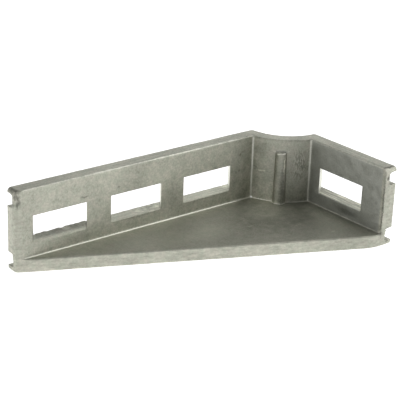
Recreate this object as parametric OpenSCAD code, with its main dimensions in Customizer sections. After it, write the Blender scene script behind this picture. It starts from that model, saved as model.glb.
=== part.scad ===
// Profile foundation bracket: a one-piece die-cast aluminium angle.
// Two upright walls of unequal length stand on a triangular web. Where they would
// meet, the outer corner is relieved by a quarter circle and the wall follows it round.
// The long leg runs along X, the short leg along Y, and the web's underside is Z = 0.
// Leg lengths are measured from the corner where the two outer faces would meet.

/* [Legs] */
// Length of the long leg
long_leg_length = 180; // [176:1:240]
// Length of the short leg
short_leg_length = 86; // [80:1:130]
// Height of the walls above the underside of the web
height = 43; // [41:0.5:60]
// Thickness of the walls
wall = 8.2; // [6:0.1:10]

/* [Web] */
// Thickness of the triangular web
web = 7.1; // [4:0.1:9]
// Width of the long leg's end face, where the web's sloping edge leaves it
tip_long = 6.8; // [4:0.1:20]
// Width of the short leg's end face, where the web's sloping edge leaves it
tip_short = 11.2; // [10:0.1:30]
// Radius between the sloping edge and the long leg's end face
tip_round_long = 2.5; // [0.5:0.1:3]
// Radius between the sloping edge and the short leg's end face
tip_round_short = 16; // [4:0.5:18]

/* [Corner] */
// Radius of the relief at the outer corner
relief_r = 24; // [16:0.5:26]
// Thickness of the curved wall that follows the relief
corner_wall = 7.4; // [5:0.1:10]
// Radius of the upright fillets beside the curved corner wall
corner_fillet = 2; // [1.4:0.1:3]
// Radius of the fillet between the walls and the web
floor_fillet = 1.2; // [0.5:0.1:1.3]
// Radius of the half-round corner rib at its foot
rib_r_foot = 3.6; // [2:0.1:5]
// Radius of the corner rib at its top
rib_r_top = 3; // [1.5:0.1:4.5]
// Height of the corner rib's top above the underside of the web
rib_top = 36; // [20:0.5:40]

/* [Slots] */
// Height of every slot
slot_h = 14; // [8:0.5:15]
// Length of every slot along the wall's inner face
slot_len = 31.5; // [24:0.5:33]
// Radius of the slot corners
slot_round = 0.8; // [0.3:0.1:2]
// Number of slots in the long leg
long_slots = 3; // [1:1:3]
// Distance of the first long-leg slot from the corner
long_slot_start = 46; // [44:0.5:49]
// Metal left between the last long-leg slot and the end of that leg
long_slot_margin = 9.5; // [8:0.5:14]
// Distance of the short-leg slot from the corner
short_slot_start = 38.5; // [38:0.5:42]
// Slant of the long-leg slots from square to the wall, in degrees
long_slot_skew = 34; // [0:1:36]
// Slant of the short-leg slot from square to the wall, in degrees
short_slot_skew = 37; // [0:1:38]

/* [Leg ends] */
// Depth of the clip notches into the wall, from its outer face
notch_depth = 4.9; // [2:0.1:5]
// Length of the clip notches along the leg
notch_len = 5; // [2:0.1:6]
// Height of the clip notches
notch_h = 6.7; // [3:0.1:8]
// Radius of the notches' inner corners
notch_round = 1.2; // [0.2:0.1:1.4]
// Thickness of the lips above and below the notches
lip = 2.6; // [2.5:0.1:4]
// Radius of the top lip's free corner
lip_round_top = 2.4; // [0.5:0.1:2.4]
// Radius of the bottom lip's free corner
lip_round_bottom = 1.2; // [0.5:0.1:2]
// Lean of the outer half of each end face, in degrees
end_draft = 3; // [1:0.5:5]

/* [Hidden] */
$fn = 64;
// Room by which a cutter passes the face that it cuts
past = 1;
// Depth by which a fillet runs into the metal behind it
bite = 0.6;
// Depth by which a rounding crosses the two faces it joins, so that each meets it in one clean edge
crossing = 0.002;
casting_grey = "#a3a497";
// Angle of the corner's diagonal, on which the rib stands
diagonal = 45;
inner_r = relief_r + corner_wall;
mid_z = height / 2;
// Centre of an upright fillet, which touches the long wall and the curved corner wall
fillet_y = wall + corner_fillet;
fillet_x = sqrt(pow(inner_r + corner_fillet, 2) - pow(fillet_y, 2));
fillet_angle = atan2(fillet_y, fillet_x);
// Distance from one long-leg slot to the next, with the row reaching from its start to its margin
slot_row = long_leg_length - long_slot_margin - slot_len - long_slot_start;
slot_pitch = slot_row / max(long_slots - 1, 1);
// Angle of the web's sloping edge to the long leg
slope = atan2(short_leg_length - tip_long, long_leg_length - tip_short);

// Repeats on the short leg what is drawn for the long leg, mirrored over the diagonal
module on_short_leg() {
    mirror([1, -1, 0])
        children();
}

module rounded_rectangle(length, width, r) {
    square([length - 2 * r, width], center = true);
    square([length, width - 2 * r], center = true);
    for (sx = [-1, 1], sy = [-1, 1])
        translate([sx * (length / 2 - r), sy * (width / 2 - r)])
            circle(r);
}

// What is cut away to round a corner by radius r. The corner is at the origin,
// its first side comes along +X, and its second side turns off clockwise.
module corner_waste(r, turn) {
    reach = r * tan(turn / 2);
    difference() {
        polygon([[-reach, -r], [-reach, 0], [0, past], [past, 0], [reach * cos(turn), -reach * sin(turn)]]);
        translate([-reach, -r])
            circle(r + crossing);
    }
}

// Plan of the whole bracket: both outer faces, the relief and the web's sloping edge
module footprint() {
    difference() {
        polygon([
            [0, 0],
            [long_leg_length, 0],
            [long_leg_length, tip_long],
            [tip_short, short_leg_length],
            [0, short_leg_length]
        ]);
        circle(relief_r);
        translate([tip_short, short_leg_length])
            corner_waste(tip_round_short, slope);
        translate([long_leg_length, tip_long])
            rotate(-slope)
                corner_waste(tip_round_long, 90 - slope);
    }
}

// Plan of the upright fillet between the long wall and the curved corner wall
module upright_fillet() {
    deep = inner_r - bite;
    difference() {
        polygon([
            [fillet_x, fillet_y],
            [fillet_x, wall - bite],
            [deep * cos(fillet_angle), wall - bite],
            [deep * cos(fillet_angle), deep * sin(fillet_angle)]
        ]);
        translate([fillet_x, fillet_y])
            circle(corner_fillet + crossing);
    }
}

// Plan of the two walls and the curved wall that joins them
module wall_plan() {
    intersection() {
        footprint();
        union() {
            square([long_leg_length, wall]);
            square([wall, short_leg_length]);
            circle(inner_r);
            upright_fillet();
            on_short_leg()
                upright_fillet();
        }
    }
}

// Section of the foot fillet: X is the distance off the inner face and Y the height
module foot_section() {
    translate([0, web])
        difference() {
            translate([-bite, -bite])
                square(floor_fillet + bite);
            translate([floor_fillet, floor_fillet])
                circle(floor_fillet);
        }
}

// Foot fillet along one leg that lies along X, starting inside the curved corner wall
module leg_foot_fillet(length) {
    start = relief_r + corner_wall / 2;
    translate([start, wall, 0])
        rotate([90, 0, 90])
            linear_extrude(length - start)
                foot_section();
}

// Foot fillets of both legs and of the curved wall, ended by the web's sloping edge
module foot_fillet() {
    intersection() {
        linear_extrude(height)
            footprint();
        union() {
            leg_foot_fillet(long_leg_length);
            on_short_leg()
                leg_foot_fillet(short_leg_length);
            rotate(fillet_angle / 2)
                rotate_extrude(angle = 90 - fillet_angle)
                    translate([inner_r, 0])
                        foot_section();
        }
    }
}

// Half-round rib on the diagonal, drafted, standing on the web against the corner wall
module corner_rib() {
    rotate(diagonal)
        translate([inner_r, 0, web - bite])
            cylinder(h = rib_top - web + bite, r1 = rib_r_foot, r2 = rib_r_top);
}

// One slot through the long wall, from its start on the inner face, slanting towards the corner
module slot(start, skew) {
    run_out = slot_len * sin(skew) / 2 + past;
    translate([start + slot_len / 2, wall, mid_z])
        rotate([90, 0, -skew])
            translate([0, 0, -run_out])
                linear_extrude(wall / cos(skew) + 2 * run_out)
                    rounded_rectangle(slot_len * cos(skew), slot_h, slot_round);
}

// Clip notches, rounded lips and drafted outer half at the end of a leg that lies along X
module end_cuts(length, tip) {
    notch_mid = lip + notch_h / 2;
    across = max(wall, tip) + past;
    outer_half = notch_depth + past;
    translate([length - notch_len, 0, 0])
        rotate([90, 0, 90])
            linear_extrude(notch_len + past)
                for (z = [notch_mid, height - notch_mid])
                    translate([0, z])
                        rounded_rectangle(2 * notch_depth, notch_h, notch_round);
    translate([length, across, 0])
        rotate([90, 0, 0])
            linear_extrude(across + past) {
                translate([0, height])
                    corner_waste(lip_round_top, 90);
                mirror([0, 1])
                    corner_waste(lip_round_bottom, 90);
            }
    translate([length, notch_depth, -past])
        linear_extrude(height + 2 * past)
            polygon([[0, 0], [past, 0], [past, -outer_half], [-outer_half * tan(end_draft), -outer_half]]);
}

module bracket() {
    color(casting_grey)
        translate([-long_leg_length / 2, -short_leg_length / 2, 0])
            difference() {
                union() {
                    linear_extrude(height)
                        wall_plan();
                    linear_extrude(web)
                        footprint();
                    foot_fillet();
                    corner_rib();
                }
                for (i = [0 : long_slots - 1])
                    slot(long_slot_start + i * slot_pitch, long_slot_skew);
                on_short_leg()
                    slot(short_slot_start, short_slot_skew);
                end_cuts(long_leg_length, tip_long);
                on_short_leg()
                    end_cuts(short_leg_length, tip_short);
            }
}

bracket();
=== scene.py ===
# Looks of a die-cast profile foundation bracket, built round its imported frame.
import math

import bmesh
import bpy
import numpy as np
from mathutils import Matrix


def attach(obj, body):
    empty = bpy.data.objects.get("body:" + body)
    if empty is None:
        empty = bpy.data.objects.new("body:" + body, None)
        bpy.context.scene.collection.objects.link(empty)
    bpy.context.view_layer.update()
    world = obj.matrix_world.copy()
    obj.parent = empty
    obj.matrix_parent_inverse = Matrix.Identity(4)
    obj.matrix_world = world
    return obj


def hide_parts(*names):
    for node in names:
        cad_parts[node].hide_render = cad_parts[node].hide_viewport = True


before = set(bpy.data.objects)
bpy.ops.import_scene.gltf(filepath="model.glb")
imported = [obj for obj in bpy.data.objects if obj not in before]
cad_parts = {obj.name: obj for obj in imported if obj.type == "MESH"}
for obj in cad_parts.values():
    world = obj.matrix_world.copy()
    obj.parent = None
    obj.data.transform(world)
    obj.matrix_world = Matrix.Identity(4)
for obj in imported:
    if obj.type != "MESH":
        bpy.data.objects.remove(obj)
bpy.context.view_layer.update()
print("frame loaded:", sorted(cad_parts))

# millimetres and degrees, x along the long leg and y along the short leg from the corner
# where the outer faces would meet, z up from the underside of the web
casting = {
    "longLeg": 180.0, "shortLeg": 86.0, "height": 43.0, "wall": 8.2, "web": 7.1,
    # tips of the legs, where the web's sloping edge meets the end faces
    "tipLong": 6.8, "tipShort": 11.2, "tipRoundLong": 2.1, "tipRoundShort": 16.0, "tipStep": 1.9,
    # outer corner with its curved wall, fillets and rib
    "reliefR": 24.0, "cornerWall": 7.4, "peakRound": 2.0, "diagonal": 45.0,
    "uprightFillet": 1.05, "floorFillet": 0.62, "ribFloorFillet": 0.3,
    "ribFoot": 3.5, "ribTop": 3.0, "ribTopZ": 36.0, "ribCap": 0.9, "ribCrease": 0.35,
    # slots, from the corner outwards, and the burr on each floor with the share of the wall where it starts
    "slotH": 14.0, "slotLen": 31.5, "longSlots": (46.0, 92.5, 139.0), "shortSlot": 38.5,
    "longSkew": 34.0, "shortSkew": 37.0, "burrs": (0.10, 0.22, 0.70, 0.14), "burrFrom": 0.5,
    "burrLevel": 0.75, "burrRagged": 0.3, "burrLimits": (0.1, 1.2), "burrWaves": (5.6, 2.3), "burrSeed": 23,
    # ends of the legs with clip notches and lips
    "notchDepth": 4.9, "notchLen": 5.0, "notchH": 6.7, "notchRound": 1.2, "lip": 2.6,
    "lipRoundTop": 2.4, "lipRoundBottom": 1.2, "endDraft": 3.0, "endFade": 9.5, "taperAt": 16, "taperLen": 6,
    # rounded edges, drawn in the grid or left to the bevel
    "topRound": 0.7, "bottomRound": 0.6, "webRound": 0.8, "cornerTopShare": 0.4,
    "rimRound": 1.2, "rimSegments": 3, "slotRimShare": 0.3, "endRimShares": (0.3, 0.55, 0.35),
    "rimAngle": 42.0, "rimSpare": 0.05, "rimMargin": 0.5, "rimClear": 1.0,
    # most of the web's width that the foot fillet and the sloping edge's rounding take, columns beside
    # the rib that share its foot fillet, and columns over which the radii blend
    "footShare": 0.4, "crestShare": 0.35, "ribMargin": 5, "footBlend": 4, "keenBlend": 3,
    # cells along each stretch of the plan and up the walls, and the few rows that are set by height
    "longCells": (8, 32, 15, 32, 15, 32, 16), "shortCells": (7, 32, 12), "ribCells": (4, 14),
    "filletCells": 7, "curveCells": 10, "peakCells": 5, "notchCells": 5, "thickCells": 8, "webCells": 60,
    "besideSlotCells": 5, "slotCells": 14, "overRibCells": 3,
    "notchTurn": (0.03, 0.13, 0.3, 0.6), "lipRow": 1.2, "notchRows": (4.9, 6.2), "topLipRow": 0.9,
    # cast skin
    "waveHeight": 0.03, "waveLengths": (21.0, 8.5, 4.6), "waveSeed": 11,
    # painted highlights along edges and fillets: across the foot fillet and the top edge, and shares of it in
    # places
    "footGlint": (0.05, 0.65, 0.75, 0.65, 0.05), "topGlint": (0.1, 0.8, 0.85, 0.2),
    "cornerGlint": 0.3, "pastRibGlint": 0.5, "shortTopGlint": 0.5, "shortFootGlint": (0.7, 0.1),
    # the last two: painted highlight and painted light on the slots' slanting ends
    "uprightGlint": 0.6, "ribCapGlint": 0.8, "slotEndGlint": 0.8, "slotEndLights": (1.3, 1.6),
    "cornerGlintFrom": 5, "ribCapRows": (2, 6),
    # the web's dull top with its painted shade fading up the fillet, and painted shade lines under the
    # corner's edge and along the short foot
    "footDullShade": (1, 0.6, 0.2), "shadeUnderEdge": (1.0, 0.5), "underMargin": 2, "shadeAlongFoot": 0.9,
}
mPerMm = 0.001
quarter = np.radians(np.array([0, 30, 60, 90]))  # steps round a small edge
fillet = np.radians(np.linspace(0, 90, 5))  # steps round a fillet and round the rib's cap
edgeRows, filletRows = len(quarter), len(fillet)
longNames = ("farMargin", "slotFar", "gapFar", "slotMiddle", "gapNear", "slotNear", "nearMargin")
shortNames = ("shortMargin", "slotShort", "shortEnd")
markNames = ("rubbed", "trimmed", "tunnel", "onWeb", "cool", "outside", "under")


def lineRun(a, b, cells):
    # straight run from a towards b, one point at the start of each cell
    t = np.arange(cells)[:, None] / cells
    return np.asarray(a, float) + (np.asarray(b, float) - np.asarray(a, float)) * t


def stopRuns(stops, cells):
    # straight runs from each stop to the next
    return [lineRun(a, b, count) for a, b, count in zip(stops, stops[1:], cells)]


def arcRun(centre, r, fromDeg, toDeg, cells):
    # circle of radius r about centre, from one angle towards the other
    a = np.radians(fromDeg + (toDeg - fromDeg) * np.arange(cells) / cells)
    return np.asarray(centre, float) + r * np.stack([np.cos(a), np.sin(a)], 1)


def pathNormals(path, side):
    # the path's direction by central differences, turned a quarter to the given side
    d = np.gradient(path, axis=0)
    d /= np.linalg.norm(d, axis=1, keepdims=True) + 1e-12
    return side * np.stack([d[:, 1], -d[:, 0]], 1)


def smoothed(values, reach):
    # running mean over the neighbours up to reach on both sides, with the ends held
    span = 2 * reach + 1
    return np.convolve(np.pad(values, reach, mode="edge"), np.ones(span) / span, "valid")


def ribPath(r, crease, cells):
    # half circle of radius r on a straight base, with a small fillet at each side:
    # t is the place along the base and d the height off it, for each r and each point
    r = np.asarray(r, float)[:, None]
    alpha = np.arcsin(crease / (r + crease))
    reach = (r + crease) * np.cos(alpha)
    creaseCells, roundCells = cells
    k = np.arange(creaseCells)[None, :] / creaseCells
    a = -np.pi / 2 + (np.pi / 2 - alpha) * k
    t1, d1 = -reach + crease * np.cos(a), crease + crease * np.sin(a)
    b = np.pi - alpha - (np.pi - 2 * alpha) * np.arange(roundCells + 1)[None, :] / roundCells
    t2, d2 = r * np.cos(b), r * np.sin(b)
    return np.hstack([t1, t2, -t1[:, ::-1]]), np.hstack([d1, d2, d1[:, ::-1]])


def gridQuads(rows, cols, base, skip=None):
    # four corners of each cell of a grid of rows by cols points
    r, c = np.meshgrid(np.arange(rows - 1), np.arange(cols - 1), indexing="ij")
    first = base + r * cols + c
    quads = np.stack([first, first + 1, first + cols + 1, first + cols], -1)
    return quads[~skip] if skip is not None else quads.reshape(-1, 4)


def planLines(p):
    # the plan as three lines with the same columns: the inner face from the long leg's end round
    # the corner to the short leg's end, the outer face with the slots shifted by their slant,
    # and the web's sloping edge, matched to the inner face by share of length
    wall, slotLen, shortSlot, ribCells = p["wall"], p["slotLen"], p["shortSlot"], p["ribCells"]
    longLeg, shortLeg, notchCells = p["longLeg"], p["shortLeg"], p["notchCells"]
    notchX, notchY = longLeg - p["notchLen"], shortLeg - p["notchLen"]
    slotEnds = [x + slotLen * k for x in reversed(p["longSlots"]) for k in (1, 0)]

    # the sloping edge's direction, where it crosses the inner face, and the rounded tips
    slope = math.atan2(shortLeg - p["tipLong"], longLeg - p["tipShort"])
    along = np.array([-math.cos(slope), math.sin(slope)])
    tip = np.array([longLeg, p["tipLong"]])
    cut = tip + along * (wall - p["tipLong"]) / math.sin(slope)
    tipR, endR = p["tipRoundLong"], p["tipRoundShort"]
    tipReach, endReach = tipR * math.tan(math.pi / 4 - slope / 2), endR * math.tan(slope / 2)
    endCentre = np.array([p["tipShort"] - endReach, shortLeg - endR])
    endY = endCentre[1] + math.sqrt(endR ** 2 - (wall - endCentre[0]) ** 2)
    lastY = endY - p["tipStep"]

    # the upright fillet touches the long wall and the curved wall, and the rib spans the diagonal
    innerR, r = p["reliefR"] + p["cornerWall"], p["uprightFillet"]
    y = wall + r
    x = math.sqrt((innerR + r) ** 2 - y ** 2)
    turn = math.degrees(math.atan2(y, x))
    ribT, _ = ribPath([p["ribFoot"]], p["ribCrease"], ribCells)
    ribSpan = math.degrees(ribT.max() / innerR)
    ribFrom, ribTo = p["diagonal"] - ribSpan, p["diagonal"] + ribSpan
    ribColumns = 2 * ribCells[0] + ribCells[1]

    tipCentre = (longLeg - tipR, p["tipLong"] - tipReach)
    longStops = [cut] + [(end, wall) for end in slotEnds] + [(x, wall)]
    shortStops = [(wall, end) for end in (x, shortSlot, shortSlot + slotLen, notchY)]
    runs = {
        "tip": arcRun(tipCentre, tipR, 0, 90 - math.degrees(slope), notchCells - 2),
        "tipFlat": lineRun(tip + along * tipReach, cut, 2),
        **dict(zip(longNames, stopRuns(longStops, p["longCells"]))),
        "filletLong": arcRun((x, y), r, 270, 180 + turn, p["filletCells"]),
        "curveLong": arcRun((0, 0), innerR, turn, ribFrom, p["curveCells"]),
        "rib": arcRun((0, 0), innerR, ribFrom, ribTo, ribColumns),
        "curveShort": arcRun((0, 0), innerR, ribTo, 90 - turn, p["curveCells"]),
        "filletShort": arcRun((y, x), r, 270 - turn, 180, p["filletCells"]),
        **dict(zip(shortNames, stopRuns(shortStops, p["shortCells"]))),
        "besideNotch": lineRun((wall, notchY), (wall, lastY), notchCells - 1),
        "last": np.array([[wall, lastY], [wall, endY]]),
    }
    first = dict(zip(runs, np.cumsum([0] + [len(run) for run in runs.values()])))
    slots = [(first[a], first[b]) for a, b in (("slotFar", "gapFar"), ("slotMiddle", "gapNear"),
                                               ("slotNear", "nearMargin"), ("slotShort", "shortEnd"))]
    rib = slice(first["rib"], first["curveShort"] + 1)
    cutAt = first["farMargin"]
    inner = np.vstack(list(runs.values()))

    # outer face: the relief between two rounded peaks takes the columns of the curved wall
    longShift = wall * math.tan(math.radians(p["longSkew"]))
    shortShift = wall * math.tan(math.radians(p["shortSkew"]))
    peakR = p["peakRound"]
    peakX = math.sqrt((p["reliefR"] + peakR) ** 2 - peakR ** 2)
    peak = math.degrees(math.atan2(peakR, peakX))
    reliefCells = 2 * (p["filletCells"] - p["peakCells"] + p["curveCells"]) + ribColumns
    longStops = [(end, 0) for end in (notchX, *(end - longShift for end in slotEnds), peakX)]
    shortEnds = (shortSlot - shortShift, shortSlot + slotLen - shortShift)
    shortStops = [(0, end) for end in (peakX, *shortEnds, notchY)]
    outer = np.vstack([
        lineRun((longLeg, 0), (notchX, 0), notchCells),
        *stopRuns(longStops, p["longCells"]),
        arcRun((peakX, peakR), peakR, 270, 180 + peak, p["peakCells"]),
        arcRun((0, 0), p["reliefR"], peak, 90 - peak, reliefCells),
        arcRun((peakR, peakX), peakR, 270 - peak, 180, p["peakCells"]),
        *stopRuns(shortStops, p["shortCells"]),
        lineRun((0, notchY), (0, shortLeg), notchCells),
        np.array([[0, shortLeg]]),
    ])

    # sloping edge: straight, then round the short leg's tip, by the length g from the crossing
    run = np.concatenate([[0], np.cumsum(np.linalg.norm(np.diff(inner[cutAt:], axis=0), axis=1))])
    straight = np.linalg.norm(np.array([p["tipShort"], shortLeg]) - along * endReach - cut)
    bendFrom, bendTo = math.pi / 2 - slope, math.acos((wall - endCentre[0]) / endR)
    g = run / run[-1] * (straight + endR * (bendTo - bendFrom))
    bend = bendFrom + np.clip(g - straight, 0, None) / endR
    onArc = endCentre + endR * np.stack([np.cos(bend), np.sin(bend)], 1)
    onLine = cut + along * np.minimum(g, straight)[:, None]
    edge = np.vstack([inner[:cutAt], np.where((g > straight)[:, None], onArc, onLine)])

    inNormal, edgeNormal = pathNormals(inner, 1), pathNormals(edge, 1)
    inNormal[:cutAt, 0], edgeNormal[:cutAt, 0] = 0, 0

    # radii of the foot fillet and of the sloping edge, which shrink where the web runs out
    width = np.linalg.norm(edge - inner, axis=1)
    foot = np.full(len(inner), p["floorFillet"])
    foot[rib.start - p["ribMargin"]:rib.stop + p["ribMargin"]] = p["ribFloorFillet"]
    foot = np.minimum(smoothed(foot, p["footBlend"]), p["footShare"] * width)
    crest = np.minimum(p["webRound"], p["crestShare"] * width)
    return {
        "inner": inner, "inNormal": inNormal, "outer": outer, "outNormal": pathNormals(outer, -1),
        "edge": edge, "edgeNormal": edgeNormal, "foot": foot, "crest": crest, "innerR": innerR,
        "first": first, "slots": slots, "rib": rib, "cutAt": cutAt, "notchX": notchX, "notchY": notchY,
    }


def notchEdges(p):
    # heights of the floor and the roof of the lower notch, then of the upper one
    floor, roof = p["lip"], p["lip"] + p["notchH"]
    return floor, roof, p["height"] - roof, p["height"] - floor


def evenSteps(a, b, cells):
    # even steps from a to b, without a itself
    return np.linspace(a, b, cells + 1)[1:]


def rowHeights(p):
    # heights of the rows: a quarter circle at the bottom and top edges, rows that crowd towards the
    # floors and roofs of the clip notches, and even steps over the slots and between them
    h, r, bottom, top = p["height"], p["notchRound"], p["bottomRound"], p["topRound"]
    n0, n1, m0, m1 = notchEdges(p)
    slotLow, slotHigh = (h - p["slotH"]) / 2, (h + p["slotH"]) / 2
    turn = r * np.array(p["notchTurn"])
    capZ = p["ribTopZ"] - p["ribCap"] * (1 - np.sin(fillet))
    low = np.concatenate([
        bottom * (1 - np.sin(quarter[::-1])), [p["lipRow"], n0, n0], n0 + turn, [n0 + r, *p["notchRows"]]])
    mid = np.concatenate([
        n1 - turn[2::-1], [n1, n1], evenSteps(n1, slotLow, p["besideSlotCells"]),
        evenSteps(slotLow, slotHigh, p["slotCells"]), evenSteps(slotHigh, m0, p["besideSlotCells"]),
        [m0], m0 + turn, [m0 + r], capZ, [p["ribTopZ"]], evenSteps(p["ribTopZ"], m1 - r, p["overRibCells"]),
        m1 - turn[::-1], [m1, m1, m1 + p["topLipRow"]], h - top * (1 - np.sin(quarter))])
    z = np.concatenate([low, [p["web"]], mid])

    # how far the edge rows are drawn in, and which rows pass through a notch
    lowInset, highInset = bottom * (1 - np.cos(quarter[::-1])), top * (1 - np.cos(quarter))
    inset = np.zeros(len(z))
    inset[:edgeRows], inset[-edgeRows:] = lowInset, highInset
    notched = np.zeros(len(z), bool)
    for floor, roof in ((n0, n1), (m0, m1)):
        start, stop = np.flatnonzero(np.isclose(z, floor))[0], np.flatnonzero(np.isclose(z, roof))[-1]
        notched[start + 1:stop] = True
    return {
        "low": low, "mid": mid, "z": z, "inset": inset, "lowInset": lowInset, "highInset": highInset,
        "notched": notched, "capAt": filletRows + np.flatnonzero(np.isclose(mid, capZ[0]))[0],
        "slotSpan": (slotLow - 1e-6, slotHigh + 1e-6),
    }


def lipBack(p, z):
    # how far the rounded lips fall back from the leg's end at height z
    top, bottom, h = p["lipRoundTop"], p["lipRoundBottom"], p["height"]
    fromTop = top - np.sqrt(np.clip(top ** 2 - np.clip(z - h + top, 0, top) ** 2, 0, None))
    fromBottom = bottom - np.sqrt(np.clip(bottom ** 2 - np.clip(bottom - z, 0, bottom) ** 2, 0, None))
    return fromTop + fromBottom


def notchBack(p, z, inside):
    # depth of a notch's back, rounded into its floor and roof, and the same edge faded outside it
    r = p["notchRound"]
    gap = np.min([np.abs(z - edge) for edge in notchEdges(p)], axis=0)
    near = np.clip(r - gap, 0, r)
    return p["notchDepth"] - np.where(inside, r - np.sqrt(r ** 2 - near ** 2), near)


def fallBack(p, place, z, tapered=False):
    # draws the points near a leg's end back by the lips' rounding, fading along the leg
    fade = p["endFade"]
    a = np.clip((place[..., 0] - p["longLeg"] + fade) / fade, 0, 1) ** 2
    b = np.clip((place[..., 1] - p["shortLeg"] + fade) / fade, 0, 1) ** 2
    if tapered:
        b = b * np.clip((p["taperAt"] - place[..., 0]) / p["taperLen"], 0, 1)
    return place - lipBack(p, z)[..., None] * np.stack([a, b], -1)


def innerFace(p, plan, rows):
    # inner face of the walls: the plan line carried up over the foot fillet, out over the rib,
    # and drawn back over the rounded top edge, which is keener at the curved corner
    h, web, mid, first, rib = p["height"], p["web"], rows["mid"], plan["first"], plan["rib"]
    n, foot, innerR, capAt = len(plan["inner"]), plan["foot"], plan["innerR"], rows["capAt"]
    keen = np.ones(n)
    keen[first["filletLong"]:first["shortMargin"]] = p["cornerTopShare"]
    keen = smoothed(keen, p["keenBlend"])
    zMid = np.tile(mid[:, None], (1, n))
    zMid[-edgeRows:] = h - (h - zMid[-edgeRows:]) * keen
    offMid = np.zeros((len(mid), n))
    offMid[-edgeRows:] = rows["highInset"][:, None] * keen
    z = np.vstack([web + foot * (1 - np.cos(fillet))[:, None], zMid])
    off = np.vstack([-foot * (1 - np.sin(fillet))[:, None], offMid])

    # the rib's radius shrinks with height, and its cap is a quarter circle
    zRib = z[:, (rib.start + rib.stop) // 2]
    rRib = p["ribFoot"] + (p["ribTop"] - p["ribFoot"]) * np.clip((zRib - web) / (p["ribTopZ"] - web), 0, 1)
    rRib[capAt:capAt + filletRows] -= p["ribCap"] * (1 - np.cos(fillet))
    t, d = ribPath(rRib, p["ribCrease"], p["ribCells"])
    d[capAt + filletRows:] = 0
    phi = math.radians(p["diagonal"]) + t / innerR
    place = np.tile(plan["inner"], (len(z), 1, 1))
    place[:, rib] = (innerR + d)[..., None] * np.stack([np.cos(phi), np.sin(phi)], -1)
    normal = np.tile(plan["inNormal"], (len(z), 1, 1))
    normal[:filletRows] = pathNormals(place[0], 1)
    normal[:, :plan["cutAt"]] = plan["inNormal"][:plan["cutAt"]]
    return np.dstack([fallBack(p, place - normal * off[..., None], z), z])


def slopingEdge(p, plan, rows):
    # the web's sloping edge, carried up from the underside with a quarter circle at both corners
    low, crest = rows["low"], plan["crest"]
    inset = np.concatenate([rows["lowInset"], np.zeros(len(low) - edgeRows)])
    z = np.vstack([np.tile(low[:, None], (1, len(crest))), p["web"] - crest * (1 - np.sin(quarter))[:, None]])
    off = np.vstack([np.tile(inset[:, None], (1, len(crest))), crest * (1 - np.cos(quarter))[:, None]])
    return np.dstack([fallBack(p, plan["edge"] - plan["edgeNormal"] * off[..., None], z, tapered=True), z])


def endColumns(p, rows, legEnd, notchAt, start):
    # one leg's end, as the place along the leg and across it: rows outside a notch cross the leaning
    # end face and turn back along the outer face, rows inside follow the notch's back and far wall
    z, inset, inside = rows["z"], rows["inset"][:, None], rows["notched"][:, None]
    k = np.arange(1, p["notchCells"] + 1) / p["notchCells"]
    end = (legEnd - lipBack(p, z))[:, None]
    deep = notchBack(p, z, rows["notched"])[:, None]
    across = deep + (inset - deep) * k
    face = end - (deep - across) * math.tan(math.radians(p["endDraft"]))
    side = face[:, -1:] + (notchAt - face[:, -1:]) * k
    back = end + (notchAt - end) * k
    a = np.hstack([start[:, :1], end, np.where(inside, back, face), np.where(inside, notchAt, side)])
    farSide = np.where(inside, deep * (1 - k), inset)
    c = np.hstack([start[:, 1:], deep, np.where(inside, deep, across), farSide])
    return a, c


def outerFace(p, plan, rows, innerBand, edgeBand):
    # outer face of the walls from end face to end face, drawn in at the top and bottom edges
    lowRows, n, ends = len(rows["low"]), len(plan["outer"]), p["notchCells"] + 1
    starts = [np.vstack([edgeBand[:lowRows, k], innerBand[filletRows - 1:, k]]) for k in (0, -1)]
    aLong, cLong = endColumns(p, rows, p["longLeg"], plan["notchX"], starts[0][:, :2])
    aShort, cShort = endColumns(p, rows, p["shortLeg"], plan["notchY"], starts[1][:, 1::-1])
    body = plan["outer"][ends:n - ends] - plan["outNormal"][ends:n - ends] * rows["inset"][:, None, None]
    place = np.concatenate([np.dstack([aLong, cLong]), body, np.dstack([cShort, aShort])[:, ::-1]], 1)
    return np.dstack([place, np.tile(rows["z"][:, None], (1, place.shape[1]))])


def bridge(a, b, cells, ends=None):
    # straight lines from each point of a to the same point of b
    share = np.linspace(0, 1, cells + 1)[None, :, None]
    strip = a[:, None] + (b - a)[:, None] * share
    if ends:
        strip[0], strip[-1] = ends
    return strip


def slotHoles(plan, rows, band, shift):
    # marks the cells that the slots take out of a band, and gives their first and last row
    z, (lowest, highest) = band[:, 0, 2], rows["slotSpan"]
    inSlot = np.flatnonzero((z > lowest) & (z < highest))
    holes = np.zeros((band.shape[0] - 1, band.shape[1] - 1), bool)
    for a, b in plan["slots"]:
        holes[inSlot[0]:inSlot[-1], a + shift:b + shift] = True
    return holes, inSlot[0], inSlot[-1]


def marked(band, **marks):
    # share of each mark of the finish at every point of a band, nought where it isn't given
    share = np.zeros(band.shape[:2] + (len(markNames),))
    for name, part in marks.items():
        share[..., markNames.index(name)] = part
    return share


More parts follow.
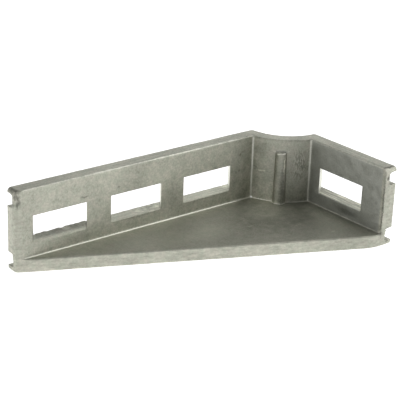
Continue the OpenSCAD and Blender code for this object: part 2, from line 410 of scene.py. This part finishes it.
def innerMarks(p, plan, rows, band):
    # marks of the inner face: painted highlight lines on the foot fillet, the top edge, the upright fillets
    # (a half sine across, stronger with height) and the rib's cap, painted shade lines, and the other marks
    # by column
    first, cells, cutAt, capAt = plan["first"], p["filletCells"], plan["cutAt"], rows["capAt"]
    size, n = band.shape[:2], band.shape[1]
    short, face = first["shortMargin"], slice(filletRows - 1, 1 - edgeRows)
    rubbed = np.zeros(size)
    rubbed[:filletRows] = np.array(p["footGlint"])[:, None]
    rubbed[-edgeRows:] = np.array(p["topGlint"])[:, None]
    rubbed[-edgeRows:, first["nearMargin"] + p["cornerGlintFrom"]:first["filletLong"]] *= p["cornerGlint"]
    rubbed[:, first["curveShort"]:] *= p["pastRibGlint"]
    rubbed[:filletRows, short:] *= np.linspace(*p["shortFootGlint"], n - short)
    rubbed[-edgeRows:, short:] *= p["shortTopGlint"]
    height = (band[face, :1, 2] - p["web"]) / (p["height"] - p["web"])
    bow = np.sin(np.pi * np.arange(cells + 1) / cells) * (p["uprightGlint"] + (1 - p["uprightGlint"]) * height)
    for name in ("filletLong", "filletShort"):
        upright = (face, slice(first[name], first[name] + cells + 1))
        rubbed[upright] = np.maximum(rubbed[upright], bow)
    capFrom, capTo = p["ribCapRows"]
    rubbed[capAt + capFrom:capAt + capTo, plan["rib"]] = p["ribCapGlint"]
    rubbed[:, :cutAt + 1] = 0

    onWeb, cool, under, trimmed = np.zeros(size), np.zeros(size), np.zeros(size), np.zeros(n)
    onWeb[:len(p["footDullShade"]), cutAt + 1:] = np.array(p["footDullShade"])[:, None]
    cool[face, first["filletShort"]:short] = np.linspace(0, 1, cells)
    cool[face, short:first["last"]] = 1
    # painted shade under the corner's top edge and along the short wall's foot
    corner = slice(first["filletLong"] + p["underMargin"], first["filletShort"] + cells - p["underMargin"])
    under[-edgeRows:-edgeRows + len(p["shadeUnderEdge"]), corner] = np.array(p["shadeUnderEdge"])[:, None]
    along = n - 1 - first["slotShort"]
    under[1:filletRows - 1, first["slotShort"]:-1] = np.linspace(0, p["shadeAlongFoot"], along)
    trimmed[:cutAt + 1] = 1
    return marked(band, rubbed=rubbed, trimmed=trimmed, onWeb=onWeb, cool=cool, under=under)


def castingPatches(p):
    # the whole skin as grids that share their borders, each with the cells it leaves out and its marks
    plan, rows = planLines(p), rowHeights(p)
    cutAt, ends, thick = plan["cutAt"], p["notchCells"] + 1, p["thickCells"]
    innerBand, edgeBand = innerFace(p, plan, rows), slopingEdge(p, plan, rows)
    outerBand = outerFace(p, plan, rows, innerBand, edgeBand)
    main = outerBand[:, ends:ends + len(plan["inner"])]
    innerHoles, in0, in1 = slotHoles(plan, rows, innerBand, 0)
    outerHoles, out0, out1 = slotHoles(plan, rows, outerBand, ends)

    # end faces and sloping edge are trimmed, and the web's dull top with its painted shade begins on the
    # edge's rounding
    trimmed = np.zeros(outerBand.shape[1])
    trimmed[:ends], trimmed[-ends:] = 1, 1
    crest = np.linspace(1, 0, edgeRows).repeat([len(rows["low"]) + 1, 1, 1, 1])[:, None]

    webTop = bridge(innerBand[0, cutAt:], edgeBand[-1, cutAt:], p["webCells"])
    rims = [(outerBand[k, :ends + 1], outerBand[k, -ends - 1:][::-1]) for k in (-1, 0)]
    topFace = bridge(innerBand[-1], main[-1], ends, rims[0])
    underside = bridge(edgeBand[0], main[0], ends, rims[1])
    patches = [
        (innerBand, innerHoles, innerMarks(p, plan, rows, innerBand)),
        (outerBand, outerHoles, marked(outerBand, trimmed=trimmed, outside=1 - trimmed)),
        (edgeBand, None, marked(edgeBand, trimmed=crest, onWeb=1 - crest)),
        (webTop, None, marked(webTop, onWeb=1)),
        (topFace, None, marked(topFace)),
        (underside, None, marked(underside)),
    ]
    for a, b in plan["slots"]:  # floor, roof and two slanting ends of each slot
        for r, q in ((in0, out0), (in1, out1)):
            liner = bridge(innerBand[r, a:b + 1], main[q, a:b + 1], thick)
            patches.append((liner, None, marked(liner, tunnel=1)))
        # the slanting ends get a painted highlight and extra painted light through the tunnel mark
        for c, gain in zip((a, b), p["slotEndLights"]):
            liner = bridge(innerBand[in0:in1 + 1, c], main[out0:out1 + 1, c], thick)
            patches.append((liner, None, marked(liner, rubbed=p["slotEndGlint"], tunnel=gain)))
    return patches


def weldPatches(patches):
    # one list of points in which equal places are one point, and the faces that keep an area,
    # with a mark on each face of a slot's wall
    points, quads, tunnel, base = [], [], [], 0
    for grid, holes, share in patches:
        points.append(grid.reshape(-1, 3))
        quads.append(gridQuads(grid.shape[0], grid.shape[1], base, holes))
        tunnel.append(np.full(len(quads[-1]), share[..., markNames.index("tunnel")].min() > 0))
        base += grid.shape[0] * grid.shape[1]
    points, quads, tunnel = np.vstack(points), np.vstack(quads), np.concatenate(tunnel)
    marks = np.vstack([share.reshape(-1, len(markNames)) for _, _, share in patches])
    key = np.round(points * 500 + 0.137).astype(np.int64)  # steps of 0.002 mm, off the round numbers
    _, first, same = np.unique(key, axis=0, return_index=True, return_inverse=True)
    points, marks, quads = points[first], marks[first], same.reshape(-1)[quads]
    repeat = quads == np.roll(quads, -1, axis=1)
    crossed = (quads[:, 0] == quads[:, 2]) | (quads[:, 1] == quads[:, 3])
    whole = ~repeat.any(1) & ~crossed
    thin = (repeat.sum(1) == 1) & ~crossed
    tris = quads[thin][~repeat[thin]].reshape(-1, 3)
    tunnel = np.concatenate([tunnel[whole], tunnel[thin]])
    return points, marks, quads[whole].tolist() + tris.tolist(), tunnel


def surfaceWave(points, seed, lengths, height):
    # sum of sine waves of given lengths in seeded directions, about one height tall
    ways, fullTurn, usualSum = 5, 6.28, 2.2
    rng = np.random.default_rng(seed)
    total = np.zeros(len(points))
    for length in lengths:
        way = rng.normal(size=(ways, 3))
        way *= 2 * np.pi / length / np.linalg.norm(way, axis=1, keepdims=True)
        total += np.sin(points @ way.T + rng.uniform(0, fullTurn, ways)).sum(1)
    return height * total / (usualSum * math.sqrt(len(lengths)))


def weighRims(bm, p, tunnel):
    # share of the full bevel on each rim: where a slot's wall meets a face, and on the sharp edges
    # of the leg ends, less on the lips than on the corners behind them
    weight = bm.edges.layers.float.new("bevel_weight_edge")
    sharp = math.radians(p["rimAngle"])
    for edge in bm.edges:
        a, b = edge.link_faces
        m = (edge.verts[0].co + edge.verts[1].co) / 2
        atEnd = max(m.x - p["longLeg"], m.y - p["shortLeg"]) > -p["notchLen"] - p["rimMargin"]
        if tunnel[a.index] != tunnel[b.index]:
            edge[weight] = p["slotRimShare"]
        elif atEnd and abs(m.z - p["web"]) > p["rimClear"] and edge.calc_face_angle(0) > sharp:
            deep = min(m.x, m.y) > p["notchDepth"] + p["rimMargin"]
            edge[weight] = p["endRimShares"][int(deep) + int(deep and m.y > m.x)]


def raiseBurrs(points, p):
    # a ragged burr along the outer edge of each slot's floor: the square of the way from its start
    # to the outer face times a wave, with s along the slot and t through the wall
    near, ends, floorZ = 1e-3, 0.01, (p["height"] - p["slotH"]) / 2
    ragged = surfaceWave(points, p["burrSeed"], p["burrWaves"], 1.0)
    level = np.clip(p["burrLevel"] + p["burrRagged"] * ragged, *p["burrLimits"])
    slots = [(0, 1, start, p["longSkew"]) for start in p["longSlots"]]
    slots.append((1, 0, p["shortSlot"], p["shortSkew"]))
    for (i, j, start, skew), burr in zip(slots, p["burrs"]):
        t = 1 - points[:, j] / p["wall"]
        s = (points[:, i] - start + p["wall"] * t * math.tan(math.radians(skew))) / p["slotLen"]
        onFloor = np.abs(points[:, 2] - floorZ) < near
        onFloor &= (s > ends) & (s < 1 - ends) & (t > -near) & (t < 1 + near)
        ramp = np.clip((t - p["burrFrom"]) / (1 - p["burrFrom"]), 0, 1) ** 2
        points[:, 2] += onFloor * burr * ramp * level


def makeCasting(p):
    # the welded skin with burrs, sunk along its normals by a wave that never rises above the true
    # faces, moved to the part's frame in metres, with its marks as attributes and its rims bevelled
    points, marks, faces, tunnel = weldPatches(castingPatches(p))
    mesh = bpy.data.meshes.new("casting")
    mesh.from_pydata(points, [], faces)
    bm = bmesh.new()
    bm.from_mesh(mesh)
    bmesh.ops.recalc_face_normals(bm, faces=bm.faces)
    openEdges = sum(1 for edge in bm.edges if len(edge.link_faces) != 2)
    weighRims(bm, p, tunnel)
    bm.to_mesh(mesh)
    bm.free()
    print("casting: points", len(points), "faces", len(mesh.polygons), "open edges", openEdges)

    raiseBurrs(points, p)
    mesh.vertices.foreach_set("co", points.ravel())
    mesh.update()
    normal = np.zeros(3 * len(points))
    mesh.vertices.foreach_get("normal", normal)
    wave = surfaceWave(points, p["waveSeed"], p["waveLengths"], p["waveHeight"])
    points = points + normal.reshape(-1, 3) * (wave - wave.max())[:, None]
    points[:, :2] = np.minimum(points[:, :2], np.array([p["longLeg"], p["shortLeg"]]) - p["rimSpare"])
    place = (points - np.array([p["longLeg"] / 2, p["shortLeg"] / 2, 0])) * mPerMm
    mesh.vertices.foreach_set("co", place.ravel())
    layers = {"finish": marks[:, :4], "sides": np.hstack([marks[:, 4:], np.zeros((len(marks), 1))])}
    for name, values in layers.items():
        layer = mesh.attributes.new(name, "FLOAT_COLOR", "POINT")
        layer.data.foreach_set("color", values.ravel())
    mesh.polygons.foreach_set("use_smooth", np.ones(len(mesh.polygons), bool))
    mesh.update()

    piece = bpy.data.objects.new("casting", mesh)
    bpy.context.scene.collection.objects.link(piece)
    rims = piece.modifiers.new("rims", "BEVEL")
    rims.limit_method = "WEIGHT"
    rims.width, rims.segments, rims.use_clamp_overlap = p["rimRound"] * mPerMm, p["rimSegments"], False
    flats = piece.modifiers.new("flats", "WEIGHTED_NORMAL")
    flats.keep_sharp = True
    return piece


piece = makeCasting(casting)
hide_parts("bracket")
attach(piece, "root")
print("casting made")


def builder(tree):
    # returns a function that adds a node, sets its properties and fills or links its sockets
    def add(kind, sockets=None, **props):
        node = tree.nodes.new("ShaderNode" + kind)
        for name, value in props.items():
            setattr(node, name, value)
        for name, value in (sockets or {}).items():
            if isinstance(value, bpy.types.NodeSocket):
                tree.links.new(value, node.inputs[name])
            else:
                node.inputs[name].default_value = value
        return node
    return add


# looks of the cast skin, sizes in millimetres in the part's own frame
skinLook = {
    "green": (0.446, 0.458, 0.384, 1), "warm": (0.472, 0.464, 0.400, 1), "tintSpan": (0.4, 0.62),
    "cool": (0.442, 0.450, 0.412, 1), "glintHue": (0.72, 0.72, 0.65, 1),
    # mottling: noises and the share of each in the tone
    "cloud": {"scale": 0.05, "detail": 3.0, "rough": 0.55, "share": 0.26},
    "patch": {"scale": 0.26, "detail": 4.0, "rough": 0.55, "share": 0.32},
    "grain": {"scale": 1.1, "detail": 3.0, "rough": 0.55, "share": 0.40},
    # trimmed faces, with their grain drawn out along the web's sloping edge
    "trimGrain": {"scale": 0.8, "detail": 5.0, "rough": 0.6, "share": 0.5},
    "trimWays": ((-0.27, 0.13, 0.0), (0.43, 0.90, 0.0), (0.0, 0.0, 1.0)),
    # streaks on the top face and on the slot walls, by the heights where the top face begins
    "streak": {"scale": 1.1, "detail": 3.0, "rough": 0.6, "share": 0.62}, "streakPace": 0.03,
    "topSpan": (42.0, 42.6),
    # what the marks do to the tone, and how much they quieten the mottling
    "slotLight": 0.30, "webShade": -0.16, "shadeUnderEdge": -0.28, "calm": 0.45, "rubbedCalm": 0.7,
    "gapSpan": (0.42, 0.58), "gapLeft": 0.25,
    # sheen and bump
    "metallic": 1.0, "roughness": 0.53, "roughSpread": 0.08, "roughSpan": (0.3, 0.7),
    "webRough": 0.09, "outerRough": -0.1,
    "bumpDepth": 0.00006, "bumpStrength": 0.45, "grainBump": 0.6,
    # stains, painted light and painted shade: their ragged rims, the spans over which blots and pits fade,
    # and where outer faces stay clear
    "ragged": {"scale": 0.7, "detail": 2.0, "rough": 0.5}, "warp": 1.6, "blotSpan": (0.45, 1.2),
    "pits": {"scale": 1.0, "detail": 2.0, "rough": 0.5}, "pitSpan": (0.4, 0.62), "patchSpan": (0.6, 1.1),
    "clearSpan": (0.9, 1.0),
    # blots on the skin, some stains and some painted light and painted shade: centre, half sizes and the tone
    # in the middle
    "blots": (
        # tip of the long leg
        ((89.5, -39.0, 42.2), (2.4, 4.6, 1.6), 0.6), ((74.0, -39.0, 43.0), (18.0, 5.0, 1.0), 0.87),
        ((89.0, -36.2, 37.5), (2.6, 2.6, 5.5), 0.86), ((90.0, -36.4, 20.0), (1.6, 2.6, 22.0), 0.86),
        ((82.0, -34.8, 22.0), (9.0, 2.0, 26.0), 0.92),
        # floors of the long leg's slots and the wall below them, with painted shade over the far slot's floor
        # and painted shade lines under the slot rims
        ((60.0, -39.9, 15.0), (27.0, 3.9, 1.6), 0.47), ((57.0, -41.0, 15.0), (2.6, 2.0, 1.6), 1.6),
        ((-5.0, -34.8, 10.0), (9.0, 1.5, 4.0), 1.08), ((26.0, -39.0, 14.5), (14.0, 5.0, 0.9), 0.86),
        ((18.5, -34.6, 13.7), (17.0, 0.8, 0.8), 0.8), ((-28.2, -34.6, 13.7), (16.0, 0.8, 0.8), 0.86),
        ((-46.8, -40.5, 14.5), (3.6, 3.2, 0.9), 1.4), ((0.8, -39.6, 14.5), (3.2, 3.0, 0.8), 1.22),
        ((7.5, -39.6, 14.6), (2.2, 1.8, 0.9), 0.7), ((3.4, -36.2, 14.5), (1.2, 1.3, 0.8), 1.25),
        ((53.0, -34.8, 10.5), (9.0, 1.5, 3.5), 0.86),
        # foot and face of the long wall, with painted light on the web along the foot and on the upper wall,
        # and its small pits
        ((10.0, -34.6, 7.1), (110.0, 8.0, 1.0), 1.2), ((50.0, -34.8, 31.6), (2.7, 1.2, 0.6), 0.62),
        ((29.4, -34.8, 32.4), (0.9, 1.0, 0.7), 0.7), ((-51.0, -34.8, 33.6), (0.8, 1.0, 0.8), 0.6),
        ((-50.5, -34.8, 24.3), (0.8, 1.0, 0.7), 0.6), ((-4.8, -34.8, 22.0), (3.6, 2.0, 9.0), 0.9),
        ((-16.0, -34.8, 35.0), (32.0, 2.6, 15.0), 1.1),
        # curved wall with its dash, and its top: painted light low on the long leg's side and painted shade
        # on the short leg's side of the rib
        ((-61.7, -29.4, 24.1), (2.4, 2.6, 0.45), 1.5), ((-61.7, -29.4, 22.9), (2.4, 2.9, 0.4), 0.88),
        ((-62.3, -28.3, 8.0), (9.0, 9.0, 18.0), 1.22), ((-62.0, -28.0, 36.5), (7.0, 7.0, 5.5), 0.86),
        ((-75.3, -15.3, 16.0), (9.5, 9.5, 42.0), 0.76), ((-72.0, -22.0, 43.4), (16.0, 16.0, 1.0), 1.14),
        ((-67.4, -20.6, 42.9), (2.0, 1.2, 0.5), 1.15),
        # rib: painted shade over it and down one side, a painted highlight line and a painted highlight on
        # its cap
        ((-66.0, -19.0, 22.0), (4.4, 4.4, 30.0), 0.88), ((-66.8, -17.2, 17.0), (1.6, 1.6, 13.0), 0.66),
        ((-67.9, -17.7, 29.5), (0.5, 0.5, 6.5), 1.6), ((-66.4, -19.4, 35.5), (1.8, 1.8, 0.5), 1.5),
        # painted shade on the short wall beside the fillet and along its foot
        ((-81.2, -10.8, 14.0), (2.6, 3.0, 14.0), 0.84), ((-81.8, -4.0, 20.0), (3.0, 6.0, 27.0), 0.9),
        ((-81.8, -9.3, 36.5), (1.6, 4.2, 6.2), 0.8), ((-81.8, 18.0, 8.5), (2.6, 32.0, 7.0), 0.8),
        ((-81.8, 17.5, 10.9), (1.6, 8.0, 2.0), 0.62),
        # end and top of the short leg
        ((-83.7, 43.0, 37.8), (0.9, 1.0, 1.2), 0.35), ((-86.0, 43.0, 22.0), (8.0, 1.8, 30.0), 0.87),
        ((-81.9, 42.7, 23.0), (0.5, 0.5, 22.0), 0.5), ((-81.8, 41.3, 23.0), (0.6, 0.3, 20.0), 1.2),
        ((-85.5, 40.9, 42.8), (4.2, 0.8, 0.7), 0.42), ((-85.5, 42.7, 41.6), (4.6, 1.0, 1.2), 1.1),
        ((-83.3, 20.0, 43.0), (0.35, 26.0, 0.6), 0.8),
        # floor of the short leg's slot
        ((-87.2, -5.0, 14.6), (3.4, 8.0, 1.0), 0.8), ((-88.8, 13.0, 14.7), (1.5, 12.0, 0.9), 1.22),
        ((-86.3, 9.0, 14.5), (0.9, 10.0, 0.8), 0.76),
        # web and its sloping edge, with a painted highlight at the foot of the upright fillet
        ((-59.9, -34.5, 7.5), (0.9, 0.9, 0.8), 1.9), ((-32.6, -3.9, 7.1), (2.2, 0.6, 1.0), 1.3),
        ((-55.0, 9.0, 7.1), (3.0, 0.5, 1.0), 1.22), ((-64.0, 26.0, 7.1), (1.6, 0.8, 1.0), 1.25),
        ((-12.0, -9.0, 7.1), (17.0, 8.0, 2.0), 1.12), ((-56.0, -16.0, 7.1), (14.0, 13.0, 2.0), 1.38),
        ((-70.0, 33.0, 3.5), (24.0, 12.0, 6.0), 0.87),
    ),
    # pitted patches: centre, half sizes, tone added in the pits and between them, pits to the millimetre
    "pitted": (
        ((-75.8, -14.9, 28.5), (4.6, 3.6, 10.5), (-0.36, 0.22), (1.7, 1.7, 0.5)),
        ((89.0, -36.2, 38.0), (2.6, 2.6, 5.4), (-0.5, 0.05), (0.9, 0.9, 0.3)),
        ((8.0, -39.0, 14.5), (11.0, 5.0, 1.0), (-0.24, 0.2), (0.33, 0.5, 0.4)),
        ((-86.5, 8.0, 14.5), (4.6, 22.0, 0.8), (-0.26, 0.25), (1.0, 0.1, 0.4)),
    ),
}


def castAluminium(look, p):
    # base colour is a hue, green to warm by patches, cool on the short wall and pale on painted highlight
    # lines,
    # times a tone: one plus the noises about their middle and the marks, times every blot: stains, painted
    # light and painted shade
    skin = bpy.data.materials.new("castAluminium")
    skin.use_nodes = True
    skin.node_tree.nodes.clear()
    add = builder(skin.node_tree)

    def maths(kind, a, b):
        # one operation on two numbers
        return add("Math", {0: a, 1: b}, operation=kind).outputs[0]

    def added(a, share, b):
        # b plus a times its share
        return add("Math", {0: a, 1: share, 2: b}, operation="MULTIPLY_ADD").outputs[0]

    def swung(a, share, b):
        # b plus a about its middle, a half, times twice its share
        return added(maths("SUBTRACT", a, 0.5), 2 * share, b)

    def ranged(a, span, to=(0.0, 1.0)):
        # a carried in a straight line from one span to another, held at the ends
        sockets = {"Value": a, "From Min": span[0], "From Max": span[1], "To Min": to[0], "To Max": to[1]}
        return add("MapRange", sockets).outputs["Result"]

    def mixed(share, a, b):
        # number a where the share is nought and b where it is one
        return add("Mix", {"Factor": share, 2: a, 3: b}, data_type="FLOAT").outputs[0]

    def hued(share, a, b):
        # colour a where the share is nought and b where it is one
        return add("Mix", {"Factor": share, 6: a, 7: b}, data_type="RGBA").outputs[2]

    def vectors(kind, a, b, c=None):
        # one operation on two vectors, or on three
        sockets = {0: a, 1: b} if c is None else {0: a, 1: b, 2: c}
        return add("VectorMath", sockets, operation=kind)

    def noise(vector, layer, output="Fac"):
        # fractal noise of the layer's scale, detail and roughness
        sockets = {"Scale": layer["scale"], "Detail": layer["detail"], "Roughness": layer["rough"]}
        return add("TexNoise", {"Vector": vector, **sockets}).outputs[output]

    spot = add("TexCoord").outputs["Object"]
    mm = add("VectorMath", {0: spot, "Scale": 1 / mPerMm}, operation="SCALE").outputs[0]
    place = add("SeparateXYZ", {"Vector": mm}).outputs
    finish = add("Attribute", attribute_name="finish").outputs
    sides = add("Attribute", attribute_name="sides").outputs
    onWeb = finish["Alpha"]
    rubbed, trimmed, tunnel = add("SeparateColor", {"Color": finish["Color"]}).outputs[:3]
    cool, outside, under = add("SeparateColor", {"Color": sides["Color"]}).outputs[:3]

    # mottling, quieter on the web, the outer faces, the trimmed faces and the short wall
    cloud, patch, grain = (noise(mm, look[name]) for name in ("cloud", "patch", "grain"))
    tone = 1.0
    for fac, name in ((cloud, "cloud"), (patch, "patch"), (grain, "grain")):
        tone = swung(fac, look[name]["share"], tone)
    # slot walls are painted lighter, standing in for the light they catch
    tone = added(tunnel, look["slotLight"], tone)
    quiet = maths("ADD", maths("ADD", onWeb, outside), maths("ADD", trimmed, cool))
    tone = mixed(maths("MULTIPLY", quiet, look["calm"]), tone, 1.0)

    # trimmed faces have a coarse drawn-out grain, and the web's top is painted darker as shade between the
    # walls
    ways = [vectors("DOT_PRODUCT", mm, way).outputs["Value"] for way in look["trimWays"]]
    drawn = add("CombineXYZ", dict(zip("XYZ", ways))).outputs[0]
    coarse = maths("MULTIPLY", maths("SUBTRACT", noise(drawn, look["trimGrain"]), 0.5), trimmed)
    tone = added(coarse, 2 * look["trimGrain"]["share"], tone)
    # painted shade on the web's top
    tone = added(onWeb, look["webShade"], tone)

    # streaks that run along the walls and round the corner, on the top face and on the slot walls
    fromX, fromY = maths("ADD", place["X"], p["longLeg"] / 2), maths("ADD", place["Y"], p["shortLeg"] / 2)
    corner = add("CombineXYZ", {"X": fromX, "Y": fromY}).outputs[0]
    radius = add("VectorMath", {0: corner}, operation="LENGTH").outputs["Value"]
    through = maths("MINIMUM", maths("MINIMUM", fromX, fromY), maths("SUBTRACT", radius, p["reliefR"]))
    length = maths("MULTIPLY", maths("ADD", place["X"], place["Y"]), look["streakPace"])
    streak = noise(add("CombineXYZ", {"X": through, "Y": length}).outputs[0], look["streak"])
    onTop = ranged(place["Z"], look["topSpan"])
    lanes = maths("MULTIPLY", maths("SUBTRACT", streak, 0.5), maths("MAXIMUM", onTop, tunnel))
    tone = added(lanes, 2 * look["streak"]["share"], tone)

    # painted highlight lines keep little mottling, and the one along the top edge is broken up
    gaps = ranged(patch, look["gapSpan"], (look["gapLeft"], 1.0))
    rubbed = maths("MULTIPLY", rubbed, maths("MAXIMUM", gaps, maths("SUBTRACT", 1.0, onTop)))
    tone = mixed(maths("MULTIPLY", rubbed, look["rubbedCalm"]), tone, 1.0)
    # painted shade lines under the corner's top edge and along the short foot darken the tone
    tone = maths("MULTIPLY", tone, added(under, look["shadeUnderEdge"], 1.0))

    # blots of stain, painted light and painted shade, each an ellipsoid with a ragged rim, and patches of
    # drawn-out pits
    shift = vectors("SUBTRACT", noise(mm, look["ragged"], "Color"), (0.5, 0.5, 0.5)).outputs[0]
    warped = vectors("MULTIPLY_ADD", shift, (look["warp"],) * 3, mm).outputs[0]

    def reach(at, size):
        # distance from a blot's centre in half sizes
        away = vectors("SUBTRACT", warped, at).outputs[0]
        share = vectors("DIVIDE", away, size).outputs[0]
        return add("VectorMath", {0: share}, operation="LENGTH").outputs["Value"]

    stainLightAndShade = 1.0
    for at, size, gain in look["blots"]:
        stainLightAndShade = maths("MULTIPLY", stainLightAndShade, ranged(reach(at, size), look["blotSpan"], (gain, 1.0)))
    for at, size, tones, pace in look["pitted"]:
        pits = noise(vectors("MULTIPLY", mm, pace).outputs[0], look["pits"])
        inPatch = ranged(reach(at, size), look["patchSpan"], (1.0, 0.0))
        stainLightAndShade = maths("MULTIPLY", stainLightAndShade, added(ranged(pits, look["pitSpan"], tones), inPatch, 1.0))
    tone = maths("MULTIPLY", tone, mixed(ranged(outside, look["clearSpan"]), stainLightAndShade, 1.0))

    hue = hued(ranged(patch, look["tintSpan"]), look["green"], look["warm"])
    # the painted highlight lines take the pale glint hue
    hue = hued(rubbed, hued(cool, hue, look["cool"]), look["glintHue"])
    colour = add("VectorMath", {0: hue, "Scale": tone}, operation="SCALE").outputs[0]

    # roughness by patches, duller on the web and smoother outside, and a fine bump
    rough, spread = look["roughness"], look["roughSpread"]
    wear = ranged(patch, look["roughSpan"], (rough - spread, rough + spread))
    wear = added(outside, look["outerRough"], added(onWeb, look["webRough"], wear))
    relief = {"Strength": look["bumpStrength"], "Distance": look["bumpDepth"]}
    bump = add("Bump", {"Height": added(grain, look["grainBump"], patch), **relief}).outputs["Normal"]
    metal = {"Base Color": colour, "Metallic": look["metallic"], "Roughness": wear, "Normal": bump}
    add("OutputMaterial", {"Surface": add("BsdfPrincipled", metal).outputs[0]})
    return skin


piece.data.materials.append(castAluminium(skinLook, casting))
print("skin made")

# floor, white to the camera and to reflections, with the object's shadow kept
stage = {"size": 14.0, "glow": 0.78, "albedo": 0.8, "sky": (0.34, 0.34, 0.34)}


def paleFloor(look):
    # matte floor, plus a glow that only camera, glossy and transmission rays see
    pale = bpy.data.materials.new("paleFloor")
    pale.use_nodes = True
    pale.node_tree.nodes.clear()
    add = builder(pale.node_tree)
    rays = add("LightPath").outputs
    seen = rays["Is Camera Ray"]
    for name in ("Is Glossy Ray", "Is Transmission Ray"):
        seen = add("Math", {0: seen, 1: rays[name]}, operation="MAXIMUM").outputs[0]
    level = add("Math", {0: seen, 1: look["glow"]}, operation="MULTIPLY").outputs[0]
    matte = add("BsdfDiffuse", {"Color": (look["albedo"],) * 3 + (1,)}).outputs[0]
    glow = add("Emission", {"Strength": level}).outputs[0]
    add("OutputMaterial", {"Surface": add("AddShader", {0: matte, 1: glow}).outputs[0]})
    return pale


side = np.linspace(-1, 1, 3) * stage["size"] / 2
floorX, floorY = (part.ravel() for part in np.meshgrid(side, side))
floorMesh = bpy.data.meshes.new("floor")
floorMesh.from_pydata(np.stack([floorX, floorY, 0 * floorX], 1), [], gridQuads(3, 3, 0).tolist())
floorMesh.materials.append(paleFloor(stage))
floor = bpy.data.objects.new("floor", floorMesh)
bpy.context.scene.collection.objects.link(floor)

world = bpy.data.worlds.new("studio")
bpy.context.scene.world = world
world.use_nodes = True
world.node_tree.nodes["Background"].inputs["Color"].default_value = stage["sky"] + (1,)


def unit(v):
    # the vector over its own length
    return v / np.linalg.norm(v)


def setUp(name, data, at, right, up, back):
    # an object whose axes are the three directions, standing at the given place
    holder = bpy.data.objects.new(name, data)
    holder.matrix_world = Matrix(np.vstack([np.stack([right, up, back, at], 1), [0, 0, 0, 1]]).tolist())
    bpy.context.scene.collection.objects.link(holder)
    return holder


# soft lamps round the object, all aimed at one point
lampAim = (0.0, 0.0, 0.02)
lamps = {
    "backdrop": {"at": (-1.0, -1.2, 0.62), "size": 1.5, "power": 4.4},
    "side": {"at": (1.05, -0.43, 0.38), "size": 0.8, "power": 3.4},
    "left": {"at": (1.15, 0.2, 0.34), "size": 0.7, "power": 1.3},
    "fill": {"at": (-0.90, 0.72, 0.27), "size": 0.6, "power": 2.5},
    "window": {"at": (-0.62, 0.42, 0.78), "size": 0.4, "power": 2.8},
}
for name, lamp in lamps.items():
    light = bpy.data.lights.new(name, "AREA")
    light.energy, light.size = lamp["power"], lamp["size"]
    back = unit(np.array(lamp["at"]) - np.array(lampAim))
    right = unit(np.cross((0, 0, 1), back))
    setUp(name, light, lamp["at"], right, np.cross(back, right), back)

# camera of the photograph: place, view direction and right-hand direction in the part's frame
view = {"at": (0.40279, 0.47993, 0.28128), "forward": (-0.59237, -0.71467, -0.37194),
        "right": (-0.77813, 0.62717, 0.03419), "focalPx": 1354.40, "framePx": 400, "sensor": 36.0,
        "clip": (0.01, 50)}
lens = bpy.data.cameras.new("camera")
lens.sensor_width = view["sensor"]
lens.lens = view["focalPx"] * view["sensor"] / view["framePx"]
lens.clip_start, lens.clip_end = view["clip"]
forward, right = unit(np.array(view["forward"])), np.array(view["right"])
right = unit(right - forward * (right @ forward))
bpy.context.scene.camera = setUp("camera", lens, view["at"], right, np.cross(right, forward), -forward)
bpy.context.scene.view_settings.view_transform = "Standard"
print("stage, lamps and camera made")
